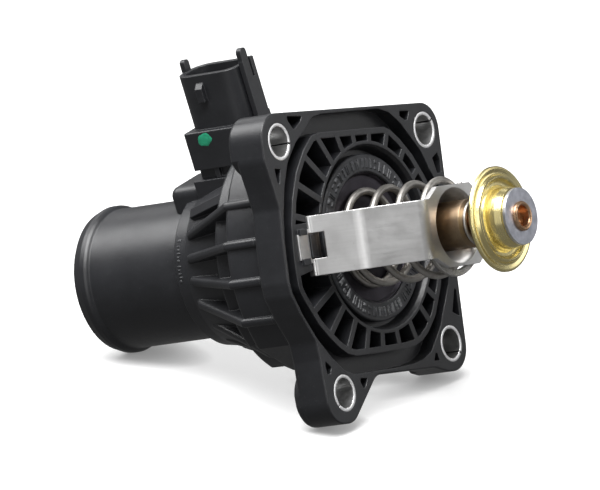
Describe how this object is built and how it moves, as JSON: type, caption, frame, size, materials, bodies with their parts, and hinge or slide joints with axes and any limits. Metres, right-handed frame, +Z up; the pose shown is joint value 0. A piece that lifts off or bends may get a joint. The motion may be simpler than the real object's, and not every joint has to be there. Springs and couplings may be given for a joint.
{
  "type": "engine thermostat",
  "caption": "Coolant thermostat in a moulded outlet housing: spring-loaded wax valve under a bent bridge, relief disc on its stem, hose spigot, plug socket and bolt flange.",
  "frame": {"origin": "on the valve's axis, in the plane of the mounting face", "axes": "+X points out of the mounting face towards the engine, along the valve's axis; +Z is up towards the plug socket"},
  "size_m": [0.1229, 0.075, 0.0933],
  "materials": {
    "housing": "satin, glass-filled",
    "housing_spigot": "satin, glass-filled",
    "housing_flange": "satin, glass-filled",
    "bolt_sleeve_tl": "bright zinc-plated",
    "bolt_sleeve_tr": "bright zinc-plated",
    "bolt_sleeve_bl": "bright zinc-plated",
    "bolt_sleeve_br": "bright zinc-plated",
    "bridge_bracket": "satin stainless sheet",
    "main_spring": "drawn wire, ground ends",
    "valve_plate": "dull passivated",
    "valve_seal": "moulded, dusty grey",
    "element_case": "dull copper-brown",
    "element_guide": "turned",
    "rubber_sleeve": "moulded",
    "wax_charge": "wax with copper powder",
    "piston_tube": "ground",
    "heater_rod": "drawn",
    "heater_lead_a": "copper wire",
    "heater_lead_b": "copper wire",
    "stem_rivet": "drawn copper tube",
    "stem_washer": "zinc-plated",
    "bypass_disc": "pressed sheet, satin",
    "bypass_spring": "drawn wire",
    "plug_socket": "satin, moulded",
    "terminal_a": "tinned blade",
    "terminal_b": "tinned blade",
    "socket_o_ring": "moulded"
  },
  "bodies": {
    "housing_body": {"housing": "housing", "housing_spigot": "housing_spigot", "housing_flange": "housing_flange", "bolt_sleeve_tl": "bolt_sleeve_tl", "bolt_sleeve_tr": "bolt_sleeve_tr", "bolt_sleeve_bl": "bolt_sleeve_bl", "bolt_sleeve_br": "bolt_sleeve_br", "bridge_bracket": "bridge_bracket", "main_spring": "main_spring", "piston_tube": "piston_tube", "heater_rod": "heater_rod", "heater_lead_a": "heater_lead_a", "heater_lead_b": "heater_lead_b", "terminal_a": "terminal_a", "terminal_b": "terminal_b", "plug_socket": "plug_socket", "socket_o_ring": "socket_o_ring"},
    "valve": {"valve_plate": "valve_plate", "valve_seal": "valve_seal", "element_case": "element_case", "element_guide": "element_guide", "rubber_sleeve": "rubber_sleeve", "wax_charge": "wax_charge", "stem_rivet": "stem_rivet", "stem_washer": "stem_washer", "bypass_spring": "bypass_spring"},
    "relief": {"bypass_disc": "bypass_disc"}
  },
  "joints": [
    {"name": "valve_slide", "type": "slide", "parent": "housing_body", "child": "valve", "axis": [1, 0, 0], "range_m": [0, 0.008], "stiffness_N_per_m": 5000, "springref_m": -0.012, "deforming": ["main_spring"]},
    {"name": "relief_slide", "type": "slide", "parent": "valve", "child": "relief", "axis": [-1, 0, 0], "range_m": [0, 0.0045], "stiffness_N_per_m": 800, "springref_m": -0.005, "deforming": ["bypass_spring"]}
  ]
}
